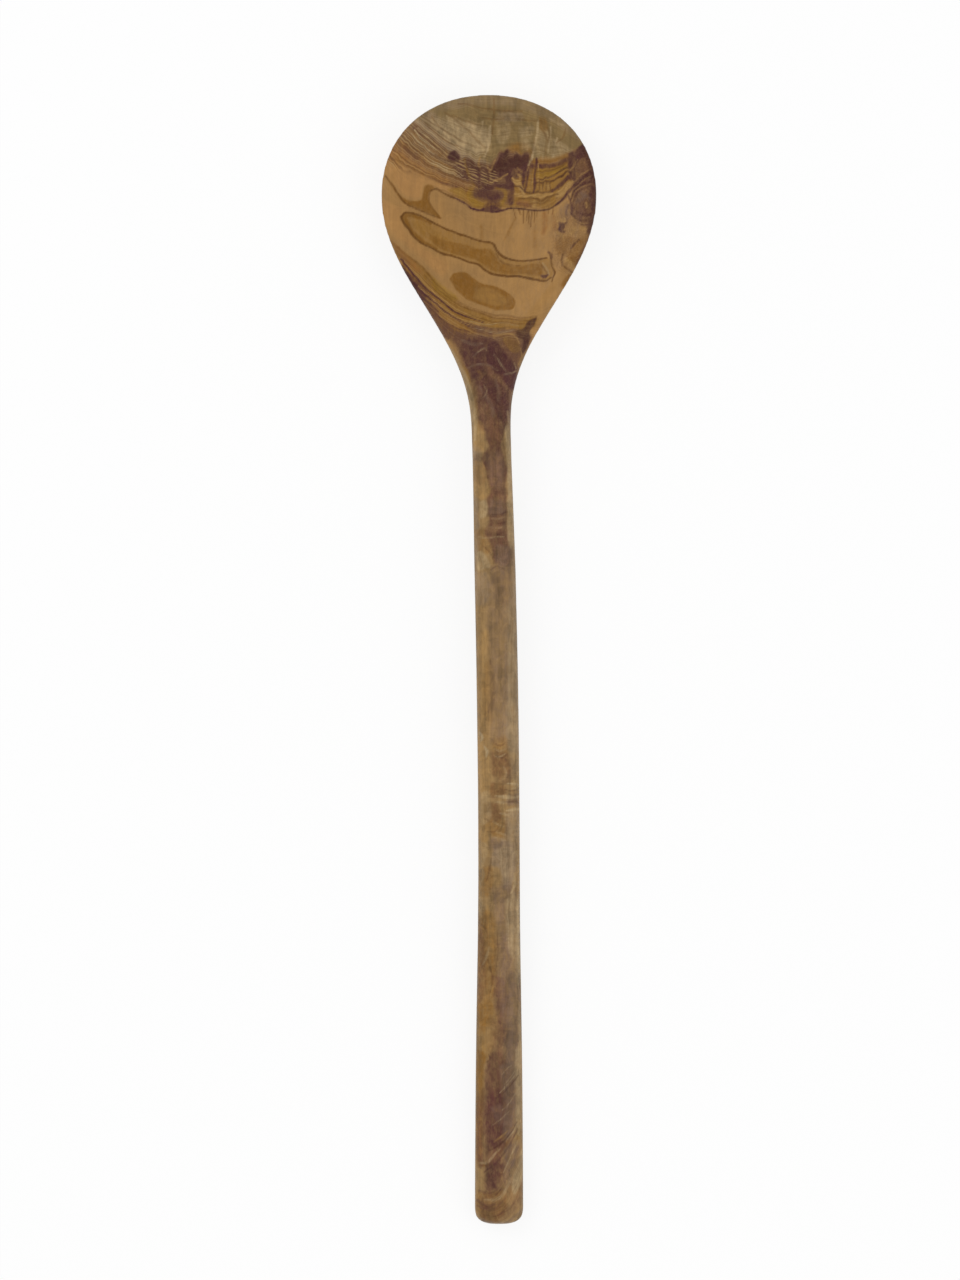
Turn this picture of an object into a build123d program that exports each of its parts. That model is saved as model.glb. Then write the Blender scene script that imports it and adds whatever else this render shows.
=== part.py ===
from build123d import *

import math
import os

# Wooden cooking spoon, carved in one piece from a billet of olive wood.
# It lies on its back as on a table: length along Y with the bowl at +Y, X across, +Z up.
# The origin is on the table, under the middle of the length and the middle of the bowl.

# Plan sizes, in millimetres
spoon_length = 330.0
bowl_width = 62.8
bowl_front_length = 29.6  # from the widest line of the bowl forward to its tip
bowl_taper_length = 71.1  # from the widest line back to the narrowest place of the neck
neck_width = 11.4
grip_width = 12.2
butt_width = 14.2
butt_round_length = 5.2  # the last stretch of the handle, where its end rounds over
handle_drift = 2.95  # how far the natural bend of the billet carries the handle sideways
bend_start_length = 47.0  # from the widest line back to where that bend starts
bend_length = 152.0

# Heights above the table, in millimetres
rim_height = 13.8  # top of the rim at the widest line
rim_rise = 0.9  # how much the rim climbs from the widest line to the neck
lip_height = 1.7  # from the widest place of the side wall up to the top of the rim
lip_run_length = 2.0  # how far in from the side the rim starts to round over
neck_bottom_height = 4.7
grip_thickness = 10.4
butt_thickness = 9.2
rest_flat_depth = 0.3  # what sanding takes off the back where it touches the table

# Hollow of the bowl, in millimetres
hollow_depth = 8.2
rim_width = 2.7  # wall seen from above, between the side and the hollow
hollow_end_width = 23.5  # the hollow ends where the spoon has narrowed to this width
hollow_edge_radius = 3.0  # worn soft where the hollow meets the rim

# Fullness of the curves. A corner share is how far a section's curve reaches into its corner:
# 0.55 makes an ellipse and more is squarer. A power does the same for an outline: 2 is an ellipse.
ellipse_share = 0.55
grip_corner_share = 0.62
back_corner_share = 0.6
bowl_front_power = 2.15
rim_front_power = 5.0
butt_power = 2.9
hollow_front_power = 2.3
hollow_back_power = 8.0

# Stations of the body's sections, as shares of the stretch that they lie on
front_turn_shares = [0.985, 0.945, 0.86, 0.75, 0.62, 0.47, 0.3, 0.14, 0.0]  # of a quarter turn
taper_shares = [0.13, 0.26, 0.38, 0.5, 0.62, 0.74, 0.87, 1.0]
butt_turn_shares = [0.0, 0.25, 0.5, 0.72, 0.88, 0.98]  # of a quarter turn
# Along the handle: how far back the section is, then how far its size has gone to the next one
neck_to_grip_shares = [(0.12, 0.62), (0.25, 0.95), (0.42, 1.0), (0.55, 1.0)]
grip_to_butt_shares = [(0.65, 0.14), (0.76, 0.56), (0.88, 0.86)]
# Along the hollow from its deepest place, and past its ends so that the cut leaves the wood
hollow_front_shares = [1.06, 1.0, 0.92, 0.82, 0.7, 0.56, 0.4, 0.2]
hollow_back_shares = [0.0, 0.2, 0.4, 0.6, 0.76, 0.88, 0.96, 1.0, 1.05]

tip_y = spoon_length / 2
butt_y = -spoon_length / 2
widest_y = tip_y - bowl_front_length
neck_y = widest_y - bowl_taper_length
bend_start_y = widest_y - bend_start_length
butt_round_y = butt_y + butt_round_length
handle_length = neck_y - butt_round_y
neck_thickness = rim_height + rim_rise - neck_bottom_height


def blend(start, end, share):
    return start + (end - start) * share


def fullness_at(share, power):
    """How much of its full size a rounded end still has, at a share of the way to its tip."""
    return (1 - share**power) ** (1 / power)


def rim_top(y):
    """Height of the rim, whose straight line climbs gently towards the neck."""
    return rim_height + rim_rise * (widest_y - y) / bowl_taper_length


def centre_x(y):
    """Middle of the body: on the bowl's axis, then drifting aside down the handle."""
    share = (bend_start_y - y) / bend_length
    return handle_drift * math.sin(math.pi / 2 * min(max(share, 0), 1))


def section(y, half_width, side, top, bottom, over_corner, under_corner):
    """A cross-section of four curves that meet at its sides, its top and its bottom.

    side is the height of the widest place. A corner is how far the curves on each side of it
    reach into it, as shares of the half width and of the height over or under the side.
    """
    x = centre_x(y)
    over_x, over_z = half_width * over_corner[0], blend(side, top, over_corner[1])
    under_x, under_z = half_width * under_corner[0], blend(side, bottom, under_corner[1])
    right = x + half_width
    left = x - half_width
    outline = [
        Bezier((right, y, side), (right, y, over_z), (x + over_x, y, top), (x, y, top)),
        Bezier((x, y, top), (x - over_x, y, top), (left, y, over_z), (left, y, side)),
        Bezier((left, y, side), (left, y, under_z), (x - under_x, y, bottom), (x, y, bottom)),
        Bezier((x, y, bottom), (x + under_x, y, bottom), (right, y, under_z), (right, y, side)),
    ]
    return make_face(outline)


def lip_corner(half_width):
    """The rim is flat almost to its side, and rounds over in the lip's run."""
    return max(ellipse_share, 1 - lip_run_length / half_width), ellipse_share


def bowl_front_section(turn_share):
    """A section of the round front of the bowl."""
    forward = math.sin(math.pi / 2 * turn_share)
    y = widest_y + bowl_front_length * forward
    size = fullness_at(forward, bowl_front_power)
    half_width = bowl_width / 2 * size
    side = rim_top(y) - lip_height
    return section(
        y,
        half_width,
        side,
        side + lip_height * fullness_at(forward, rim_front_power),
        side - (side + rest_flat_depth) * size,
        lip_corner(half_width),
        (back_corner_share, back_corner_share),
    )


def taper_fullness(share):
    """How much of the bowl's size is left at a share of the way from its widest line to the neck."""
    return (1 - share**2) ** 3


def taper_share(fullness):
    """Where on that way the bowl's size is down to this fullness."""
    return math.sqrt(1 - fullness ** (1 / 3))


def bowl_taper_section(share):
    """A section between the widest line and the neck. All its sizes follow one curve."""
    fullness = taper_fullness(share)
    y = widest_y - bowl_taper_length * share
    lip_across, lip_up = lip_corner(bowl_width / 2)
    under_corner = blend(grip_corner_share, back_corner_share, fullness)
    return section(
        y,
        blend(neck_width, bowl_width, fullness) / 2,
        blend(neck_bottom_height + neck_thickness / 2, rim_top(y) - lip_height, fullness),
        rim_top(y),
        blend(neck_bottom_height, -rest_flat_depth, fullness),
        (blend(grip_corner_share, lip_across, fullness), blend(grip_corner_share, lip_up, fullness)),
        (under_corner, under_corner),
    )


def handle_section(y, width, thickness, size=1):
    """An oval of the handle, whose underside comes down to the table at the butt."""
    share = (neck_y - y) / (neck_y - butt_y)
    side = blend(neck_bottom_height, -rest_flat_depth, share) + thickness / 2
    reach = thickness / 2 * size
    corner = (grip_corner_share, grip_corner_share)
    return section(y, width / 2 * size, side, side + reach, side - reach, corner, corner)


body_sections = [bowl_front_section(share) for share in front_turn_shares]
body_sections += [bowl_taper_section(share) for share in taper_shares]
for back_share, size_share in neck_to_grip_shares:
    width = blend(neck_width, grip_width, size_share)
    thickness = blend(neck_thickness, grip_thickness, size_share)
    body_sections.append(handle_section(neck_y - handle_length * back_share, width, thickness))
for back_share, size_share in grip_to_butt_shares:
    width = blend(grip_width, butt_width, size_share)
    thickness = blend(grip_thickness, butt_thickness, size_share)
    body_sections.append(handle_section(neck_y - handle_length * back_share, width, thickness))
for turn_share in butt_turn_shares:
    backward = math.sin(math.pi / 2 * turn_share)
    size = fullness_at(backward, butt_power)
    y = butt_round_y - butt_round_length * backward
    body_sections.append(handle_section(y, butt_width, butt_thickness, size))

# The hollow is one gouge cut: arcs across the bowl about an axis high above it, along the rim
half_hollow_width = bowl_width / 2 - rim_width
axis_height = (half_hollow_width**2 - hollow_depth**2) / (2 * hollow_depth)
gouge_plane = Plane(
    origin=(0, widest_y, rim_height + axis_height),
    x_dir=(0, bowl_taper_length, -rim_rise),
    z_dir=(1, 0, 0),
)


def gouge_point(place, body_width, closing):
    """A point of the cut's profile: place along the gouge's axis, and radius about it.

    The hollow keeps the rim's width inside the body there, times how far it has closed.
    """
    half_width = body_width / 2 - rim_width
    return place, math.sqrt(axis_height**2 + half_width**2 * closing)


hollow_front_length = bowl_front_length - rim_width
hollow_end_fullness = (hollow_end_width - neck_width) / (bowl_width - neck_width)
hollow_back_length = bowl_taper_length * taper_share(hollow_end_fullness)
gouge_line = []
for share in hollow_front_shares:
    closing = 1 - share**hollow_front_power
    gouge_line.append(gouge_point(hollow_front_length * share, bowl_width, closing))
for share in hollow_back_shares:
    fullness = taper_fullness(share * hollow_back_length / bowl_taper_length)
    closing = 1 - share**hollow_back_power
    body_width = blend(neck_width, bowl_width, fullness)
    gouge_line.append(gouge_point(-hollow_back_length * share, body_width, closing))

with BuildPart() as spoon:
    loft(sections=body_sections)
    with BuildSketch(gouge_plane):
        with BuildLine():
            Spline(*gouge_line)
            Polyline(gouge_line[-1], (gouge_line[-1][0], 0), (gouge_line[0][0], 0), gouge_line[0])
        make_face()
    revolve(axis=Axis(gouge_plane.origin, gouge_plane.x_dir), mode=Mode.SUBTRACT)
    cut_edges = spoon.edges(Select.LAST).sort_by(Axis.X)
    fillet([cut_edges[0], cut_edges[-1]], radius=hollow_edge_radius)
    split(bisect_by=Plane.XY, keep=Keep.TOP)

spoon.part.label = "spoon"
os.makedirs("parts", exist_ok=True)
export_step(spoon.part, "parts/spoon.step")
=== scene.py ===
import bmesh
import bpy
import numpy as np
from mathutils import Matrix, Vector
from mathutils.bvhtree import BVHTree


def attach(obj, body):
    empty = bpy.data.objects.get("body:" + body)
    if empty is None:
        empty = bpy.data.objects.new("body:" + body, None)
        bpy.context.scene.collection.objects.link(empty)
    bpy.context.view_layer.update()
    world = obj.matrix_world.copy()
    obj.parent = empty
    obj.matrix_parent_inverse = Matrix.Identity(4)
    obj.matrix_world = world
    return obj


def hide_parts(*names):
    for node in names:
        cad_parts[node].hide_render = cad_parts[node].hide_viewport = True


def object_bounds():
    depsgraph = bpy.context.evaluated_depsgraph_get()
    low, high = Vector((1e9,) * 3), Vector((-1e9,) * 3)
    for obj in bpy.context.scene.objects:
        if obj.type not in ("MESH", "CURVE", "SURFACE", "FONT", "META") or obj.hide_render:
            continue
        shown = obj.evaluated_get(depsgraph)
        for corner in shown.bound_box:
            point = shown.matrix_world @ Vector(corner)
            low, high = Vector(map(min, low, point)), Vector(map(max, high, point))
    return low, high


# An olive wood cooking spoon, carved in one piece, on a white table under soft light.
# Blender works in metres. The figure of the wood is placed on the plan of the spoon in pixels of
# the photograph, which looks straight down, and turned into metres by one scale.

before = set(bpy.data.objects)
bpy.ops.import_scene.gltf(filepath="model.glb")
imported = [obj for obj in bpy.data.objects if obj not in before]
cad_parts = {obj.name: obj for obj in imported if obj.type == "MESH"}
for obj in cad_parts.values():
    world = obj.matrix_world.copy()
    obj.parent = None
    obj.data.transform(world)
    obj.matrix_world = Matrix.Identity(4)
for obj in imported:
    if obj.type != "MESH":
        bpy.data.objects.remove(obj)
cad_low, cad_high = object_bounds()

METRES_PER_PIXEL = 0.29234e-3
AXIS_PIXEL = 488.95  # the spoon's axis, x = 0, in the photograph
MIDDLE_PIXEL = 660.1  # the middle of its length, y = 0
PHOTO_WIDTH = 960
PHOTO_HEIGHT = 1280
HANDLE_START = (345, 400)  # where the figure of the bowl passes into that of the handle

# Camera, straight above with a long lens
CAMERA_HEIGHT = 3.0
FACE_HEIGHT = 0.008  # the level of the wood that the lens is set for
SENSOR = 36.0
CAMERA_REACH = 20.0
camera_data = bpy.data.cameras.new("camera")
camera_data.sensor_width = SENSOR
camera_data.lens = SENSOR * (CAMERA_HEIGHT - FACE_HEIGHT) / (PHOTO_HEIGHT * METRES_PER_PIXEL)
camera_data.clip_end = CAMERA_REACH
camera = bpy.data.objects.new("camera", camera_data)
camera.location = (
    (PHOTO_WIDTH / 2 - AXIS_PIXEL) * METRES_PER_PIXEL,
    (MIDDLE_PIXEL - PHOTO_HEIGHT / 2) * METRES_PER_PIXEL,
    CAMERA_HEIGHT,
)
bpy.context.scene.collection.objects.link(camera)
bpy.context.scene.camera = camera
bpy.context.scene.view_settings.view_transform = "Standard"

# Floor and light. The camera sees a cleaner white than the wood does.
WHITE = (1, 1, 1, 1)
FLOOR_COLOUR = (0.95, 0.95, 0.95, 1)
FLOOR_GLOW_SHARE = 0.85  # the rest of the floor's white takes the spoon's shadow
FLOOR_REACH = 8.0
FLOOR_GAP = 0.0001  # the floor lies this far under the wood
WORLD_LEVEL = 0.78
KEY_LAMP = dict(place=(-1.2, 0.9, 1.6), size=1.2, power=9.0)
FILL_LAMP = dict(place=(1.4, -0.6, 1.3), size=1.4, power=5.0)


def node(tree, kind, **settings):
    """A new node. Settings that start with in_ are the values of its inputs, by number."""
    made = tree.nodes.new(kind)
    for name, value in settings.items():
        if name.startswith("in_"):
            made.inputs[int(name[3:])].default_value = value
        else:
            setattr(made, name, value)
    return made


def mix_for_camera(tree, plain, seen, share, output):
    """One shader for light that falls on the spoon, and a share of another for the camera."""
    path = node(tree, "ShaderNodeLightPath")
    seen_share = node(tree, "ShaderNodeMath", operation="MULTIPLY", in_1=share)
    mix = node(tree, "ShaderNodeMixShader")
    tree.links.new(path.outputs["Is Camera Ray"], seen_share.inputs[0])
    tree.links.new(seen_share.outputs[0], mix.inputs[0])
    tree.links.new(plain.outputs[0], mix.inputs[1])
    tree.links.new(seen.outputs[0], mix.inputs[2])
    tree.links.new(mix.outputs[0], output.inputs[0])


def white_floor():
    mesh = bpy.data.meshes.new("floor")
    corners = [(x * FLOOR_REACH, y * FLOOR_REACH, 0) for x, y in ((-1, -1), (1, -1), (1, 1), (-1, 1))]
    mesh.from_pydata(corners, [], [(0, 1, 2, 3)])
    floor = bpy.data.objects.new("floor", mesh)
    floor.location.z = -FLOOR_GAP
    bpy.context.scene.collection.objects.link(floor)
    material = bpy.data.materials.new("white_floor")
    material.use_nodes = True
    tree = material.node_tree
    tree.nodes.clear()
    paint = node(tree, "ShaderNodeBsdfDiffuse", in_0=FLOOR_COLOUR)
    glow = node(tree, "ShaderNodeEmission", in_0=WHITE, in_1=1.0)
    mix_for_camera(tree, paint, glow, FLOOR_GLOW_SHARE, node(tree, "ShaderNodeOutputMaterial"))
    mesh.materials.append(material)


def soft_world():
    world = bpy.data.worlds.new("studio")
    bpy.context.scene.world = world
    world.use_nodes = True
    tree = world.node_tree
    tree.nodes.clear()
    dim = node(tree, "ShaderNodeBackground", in_0=WHITE, in_1=WORLD_LEVEL)
    plain = node(tree, "ShaderNodeBackground", in_0=WHITE, in_1=1.0)
    mix_for_camera(tree, dim, plain, 1.0, node(tree, "ShaderNodeOutputWorld"))


def lamp(name, place, size, power):
    """A square lamp that faces the middle of the spoon."""
    data = bpy.data.lights.new(name, "AREA")
    data.shape = "SQUARE"
    data.size = size
    data.energy = power
    made = bpy.data.objects.new(name, data)
    made.location = place
    made.rotation_euler = (-Vector(place)).to_track_quat("-Z", "Y").to_euler()
    bpy.context.scene.collection.objects.link(made)


white_floor()
soft_world()
lamp("key", **KEY_LAMP)
lamp("fill", **FILL_LAMP)

# The figure of the wood, drawn on the plan in whole pixels, from the tip of the bowl to the
# butt. Each growth ring is a level, and x and y of each point of the line that it follows.
RINGS = [
    (3, [462,100, 490,101, 520,102, 548,113]),
    (7, [446,108, 469,107, 482,111, 498,113, 518,114, 540,118, 564,131]),
    (10, [438,113, 462,117, 477,123, 494,125, 512,124, 534,125, 555,132, 574,143]),
    (14, [430,116, 451,125, 468,133, 482,137, 494,137, 512,135, 534,136, 555,140, 576,151]),
    (17, [421,120, 434,131, 451,142, 468,151, 484,154, 498,152, 516,150, 534,151, 555,154]),
    (20, [413,125, 425,136, 438,146, 453,156, 468,163, 482,166, 492,168, 508,164, 520,161, 534,162,
        555,162, 571,159]),
    (23, [406,131, 418,143, 434,155, 451,166, 468,173, 486,177, 498,176, 514,175, 531,172, 550,170,
        566,165]),
    (26, [399,139, 412,151, 430,164, 447,173, 464,180, 482,184, 498,184, 516,184, 531,183, 550,180,
        562,174]),
    (29, [392,150, 410,164, 430,175, 451,183, 472,190, 490,195, 510,196, 531,194, 548,192, 560,186,
        569,176]),
    (32, [384,175, 392,186, 399,195, 406,204, 420,210, 438,217, 433,208, 430,198, 431,190, 435,189,
        444,195, 453,199, 464,202, 472,208, 482,210, 498,209, 512,208, 524,209, 540,211, 556,205, 566,197,
        574,185]),
    (31, [411,201, 422,200, 424,192, 429,185]),
    (35, [388,210, 394,218, 446,218, 482,230, 516,236, 544,241, 555,231]),
    (38, [401,218, 406,213, 418,215, 432,222, 447,229, 462,235, 477,240, 492,244, 497,251, 502,256,
        512,260, 529,261, 547,259, 553,264, 552,275, 544,281, 529,279, 512,276, 494,275, 484,270, 478,265,
        468,262, 453,257, 436,251, 420,242, 412,234, 404,225]),
    (41, [420,225, 434,234, 451,242, 468,249, 484,254, 492,263, 508,268, 524,269, 540,270]),
    (36, [390,231, 414,249, 434,264, 451,268, 472,270, 490,282, 516,288, 544,290, 555,288]),
    (38, [450,279, 456,273, 466,273, 472,277, 482,284, 498,288, 512,297, 515,305, 510,310, 495,309,
        482,304, 468,299, 457,290]),
    (40, [458,280, 468,285, 482,294, 494,299, 505,302]),
    (37, [444,281, 455,296, 477,308, 498,315, 520,313, 547,301]),
    (39, [390,240, 406,254, 425,270, 444,291, 464,305, 486,313, 508,318, 531,319]),
    (42, [394,251, 412,266, 430,283, 446,300, 466,313, 488,321, 512,325, 527,324]),
    (46, [404,269, 420,286, 438,302, 455,315, 475,325, 495,330, 514,330]),
    (50, [414,288, 430,302, 446,315, 462,326, 479,334]),
    (54, [425,305, 440,322, 455,337, 472,342]),
]
HANDLE_RINGS = [
    (100, [495,425, 497,470, 498,520, 502,570, 505,620, 503,680, 498,740, 500,800, 503,850, 505,900,
        507,960, 503,1010, 500,1060, 498,1110, 496,1150, 493,1172]),
    (94, [484,425, 484,470, 487,520, 489,570, 491,620, 489,680, 486,740, 487,800, 490,850, 492,900,
        493,960, 490,1010, 487,1060, 485,1110, 484,1150, 488,1182, 497,1178, 505,1158, 513,1136, 519,1110,
        518,1080, 514,1040, 516,1000, 519,940, 519,880, 516,820, 514,760, 515,700, 516,640, 514,590,
        508,540, 508,480, 506,425]),
    (90, [477,425, 478,520, 481,620, 479,720, 480,800, 483,900, 484,980, 480,1060, 478,1140, 482,1196,
        494,1200, 506,1186, 515,1164, 523,1140, 527,1100, 523,1040, 526,960, 525,880, 522,780, 524,680,
        520,590, 514,520, 512,425]),
    (86, [470,500, 470,700, 473,900, 472,1080, 474,1190, 486,1212, 502,1210, 514,1194, 524,1168,
        532,1130]),
]

# The tones in the order they are laid on: the colour, and how much the rings and the mottle break it up
TONES = {
    # Sapwood at the tip of the bowl, with a painted sheen that makes it duller and greyer
    "sap_and_sheen": ("7f6946", 0.4),
    "bright": ("a67c4c", 0.3),
    # Partly a greyer wood, partly painted sheen: pale grey laid over the tip of the bowl and along the
    # edges of the neck and handle
    "grey_and_sheen": ("8a745b", 0.9),
    "gold": ("8b6530", 0.9),
    "orange": ("8e6235", 0.9),
    "brown": ("7f5828", 0.8),
    "heart": ("664839", 1.0),
    "dark": ("4e3030", 0.8),
    "mauve": ("76604f", 1.0),
    "amber": ("8e6b2b", 0.9),
    "light": ("a5804c", 0.9),
    "pale": ("a58d69", 0.9),
    "vein": ("664521", 0.6),
    "line": ("472c27", 0.6),
}
# More that the figure steers: knot is burl with swirling lines, rings is how plainly the fine rings
# show, flame is the ripple across the grain, and bars are short pale lines one under the other
TEXTURES = ("knot", "rings", "flame", "bars")

# Shapes of each tone: how strong it is in percent, how soft its edge is in tenths of a pixel, and x
# and y of each point of its outline
AREAS = {}
# The tip of the bowl: paler wood with a painted sheen on it
AREAS["sap_and_sheen"] = [
    (100, 60, [404,121, 430,88, 490,82, 550,88, 580,117, 596,142, 584,147, 570,152, 556,157, 534,158,
        520,153, 509,148, 499,154, 490,163, 478,160, 463,153, 447,143, 430,131, 416,124]),
]
AREAS["bright"] = [
    (85, 50, [386,163, 400,165, 414,172, 430,180, 450,187, 466,192, 458,198, 446,193, 434,187, 424,185,
        420,197, 408,196, 398,188, 388,176]),
    (80, 60, [381,202, 401,210, 403,228, 425,251, 447,262, 442,275, 414,251, 390,230]),
    (75, 30, [557,188, 566,184, 571,180, 574,183, 569,191, 563,198, 556,200, 556,193]),
    (50, 30, [455,301, 470,309, 495,316, 520,318, 520,320, 495,319, 470,314, 455,306]),
    (75, 25, [531,330, 545,316, 538,331, 529,346]),
]
# Painted sheen in part: grey patches over the tip of the bowl and greyer strips along the handle's edges
AREAS["grey_and_sheen"] = [
    (40, 60, [428,110, 458,98, 500,93, 532,97, 556,108, 577,126, 592,143, 577,140, 560,128, 540,116,
        515,108, 480,106, 450,110]),
    (50, 50, [415,120, 430,112, 441,122, 456,136, 470,148, 462,152, 445,143, 428,131]),
    (50, 40, [498,113, 520,113, 521,121, 498,121]),
    (95, 30, [398,138, 403,128, 410,119, 424,124, 437,135, 450,144, 463,152, 478,159, 490,164, 488,178,
        470,175, 452,168, 432,158, 412,147]),
    (60, 30, [472,444, 482,450, 480,464, 472,464]),
    (60, 50, [474,572, 488,574, 490,600, 476,604]),
    (60, 80, [506,600, 520,600, 520,740, 504,740, 506,660]),
    (90, 50, [494,846, 506,838, 516,850, 514,880, 504,888, 500,868, 492,864]),
]
AREAS["gold"] = [
    (85, 40, [448,189, 463,186, 478,185, 500,186, 513,188, 524,200, 540,203, 556,200, 551,208, 524,207,
        498,208, 482,208, 472,206, 464,201, 453,197]),
    (45, 15, [401,218, 406,213, 418,215, 432,222, 447,229, 462,235, 477,240, 492,244, 497,251, 502,256,
        512,260, 529,261, 547,259, 552,264, 552,275, 544,281, 529,279, 512,276, 494,275, 484,270, 478,265,
        468,262, 453,257, 436,251, 420,242, 412,234, 404,225]),
    (70, 50, [409,220, 420,220, 434,228, 446,235, 451,244, 436,245, 423,236, 412,229]),
    (90, 50, [512,176, 520,168, 532,164, 550,166, 568,160, 573,165, 572,178, 566,192, 556,202, 540,207,
        525,206, 512,202]),
    (50, 35, [577,163, 584,160, 590,168, 585,178, 579,184, 575,178]),
    (85, 40, [392,243, 410,258, 425,269, 436,282, 450,297, 466,308, 490,316, 515,320, 536,318, 534,328,
        515,331, 490,328, 465,322, 445,310, 425,294, 406,270]),
    (40, 40, [455,318, 480,324, 505,327, 520,326, 517,333, 495,336, 474,333, 460,326]),
    (30, 50, [478,1004, 494,1006, 498,1026, 493,1050, 484,1058, 477,1052]),
]
AREAS["orange"] = [
    (60, 50, [384,152, 394,141, 408,150, 428,164, 448,175, 470,184, 466,190, 444,185, 420,175, 398,164,
        385,162]),
    (60, 40, [455,176, 466,180, 478,186, 478,192, 466,190, 452,184]),
    (35, 40, [559,285, 565,276, 573,276, 566,290]),
    (70, 40, [452,277, 464,275, 472,282, 471,296, 461,290]),
    (70, 40, [390,240, 400,247, 412,260, 424,274, 414,272, 402,260]),
    (100, 20, [507,348, 519,349, 519,358, 513,360]),
]
AREAS["brown"] = [
    (50, 40, [539,117, 546,119, 546,131, 540,129]),
    (55, 50, [508,145, 520,143, 531,149, 528,155, 512,154]),
    (55, 40, [391,147, 402,130, 412,123, 422,130, 434,141, 447,150, 460,158, 474,164, 488,168, 488,182,
        470,181, 452,175, 432,166, 412,153]),
    (90, 25, [388,180, 395,189, 403,198, 412,201, 421,200, 423,192, 425,186, 431,185, 434,188, 429,192,
        429,200, 434,209, 440,218, 430,214, 417,209, 405,204, 397,195]),
    (70, 25, [429,234, 446,240, 462,244, 477,248, 489,249, 495,256, 501,264, 516,266, 540,265, 540,276,
        524,275, 509,274, 494,272, 485,267, 477,261, 462,257, 447,252, 434,244]),
    (40, 40, [472,252, 490,250, 500,266, 488,268, 476,260]),
    (70, 25, [531,158, 545,160, 558,157, 568,153, 570,158, 558,161, 545,164, 531,163]),
    (45, 30, [577,165, 583,162, 588,168, 583,176, 577,178]),
    (40, 30, [577,196, 588,191, 591,203, 588,214, 577,214, 573,206]),
    (60, 40, [556,240, 566,236, 580,240, 592,226, 588,245, 576,260, 566,256, 556,252]),
    (90, 30, [566,257, 574,258, 582,250, 591,236, 588,256, 572,284, 562,286, 566,276, 576,272, 570,264]),
    (85, 18, [450,279, 455,273, 466,273, 473,278, 481,284, 499,288, 512,297, 515,305, 510,311, 496,310,
        481,305, 468,300, 457,291]),
    (70, 40, [402,262, 415,279, 430,294, 446,307, 466,319, 478,328, 470,338, 448,338, 432,318, 416,298,
        402,276]),
    (30, 40, [472,388, 480,392, 482,410, 488,424, 480,430, 476,410]),
    (100, 15, [500,336, 514,337, 521,346, 520,354, 512,354, 504,347]),
    (55, 40, [484,412, 494,410, 500,424, 500,444, 490,444, 488,428]),
    (20, 60, [492,552, 510,556, 514,580, 512,600, 500,604, 494,580]),
    (35, 50, [492,738, 507,738, 508,774, 493,774]),
    (35, 40, [474,530, 488,530, 492,550, 480,552]),
    (35, 60, [484,668, 492,660, 495,700, 490,724, 484,710]),
    (45, 25, [491,783, 502,783, 505,793, 494,797, 490,790]),
    (40, 40, [484,803, 498,804, 504,822, 504,836, 492,836, 484,822]),
    (40, 40, [484,868, 492,866, 493,884, 488,896, 482,890]),
    (50, 60, [476,912, 492,912, 496,950, 494,1000, 486,1026, 477,1020]),
    (75, 40, [477,1050, 485,1056, 483,1090, 483,1150, 477,1160]),
    (55, 50, [482,1192, 504,1192, 504,1214, 484,1214]),
    (50, 40, [478,1190, 490,1196, 500,1210, 496,1224, 482,1218, 476,1206]),
]
AREAS["heart"] = [
    (90, 40, [452,166, 464,160, 474,162, 488,165, 494,158, 501,152, 508,149, 516,154, 526,154, 532,160,
        532,172, 524,176, 516,178, 514,186, 506,191, 488,188, 476,186, 466,182, 456,176]),
    (40, 40, [452,176, 466,180, 474,186, 466,190, 450,184]),
    (85, 35, [473,188, 482,185, 494,188, 502,191, 504,197, 497,203, 486,201, 478,199, 472,195]),
    (60, 30, [502,188, 508,186, 514,189, 514,203, 508,206, 503,199]),
    (80, 40, [568,155, 577,149, 588,145, 600,165, 603,200, 600,232, 590,237, 584,226, 574,219, 570,208,
        574,194, 572,180, 569,170]),
    (30, 30, [388,238, 396,246, 410,264, 402,262]),
    (85, 30, [400,266, 410,278, 420,292, 434,308, 446,322, 456,334, 446,340, 432,322, 416,302, 402,280]),
    (75, 30, [462,322, 480,326, 504,330, 518,329, 516,334, 495,336, 474,333]),
    (90, 60, [440,330, 452,330, 468,334, 500,337, 518,334, 532,338, 520,360, 516,378, 513,395, 511,412,
        508,430, 482,430, 478,410, 474,390, 466,372, 459,352, 450,340]),
    (85, 40, [478,400, 482,412, 487,424, 485,436, 489,446, 484,454, 482,460, 487,478, 490,492, 486,500,
        488,512, 489,524, 484,534, 492,548, 494,562, 508,566, 512,552, 510,536, 507,518, 508,500, 506,486,
        508,472, 505,458, 502,446, 504,432, 505,416, 508,400]),
    (35, 40, [474,456, 484,456, 486,482, 476,484]),
    (40, 50, [490,752, 502,750, 514,760, 515,776, 506,784, 494,776]),
    (35, 30, [490,782, 503,782, 506,794, 492,798]),
    (40, 40, [487,803, 498,802, 502,816, 496,822, 486,816]),
    (35, 50, [477,935, 484,940, 486,985, 478,1000]),
    (80, 60, [493,975, 507,980, 509,1008, 508,1040, 500,1040, 496,1010]),
    (25, 80, [496,940, 512,940, 512,1020, 506,1034, 496,1010]),
    (50, 140, [492,1020, 506,1024, 514,1050, 512,1070, 492,1060]),
    (85, 70, [490,1052, 500,1050, 509,1062, 515,1090, 514,1118, 508,1140, 502,1160, 498,1186, 486,1190,
        485,1150, 484,1110, 486,1070]),
    (60, 40, [477,1096, 485,1090, 485,1160, 477,1162]),
    (60, 60, [490,1134, 511,1130, 511,1160, 503,1186, 490,1188]),
    (40, 50, [480,1194, 520,1180, 520,1206, 500,1222, 482,1218]),
]
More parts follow.
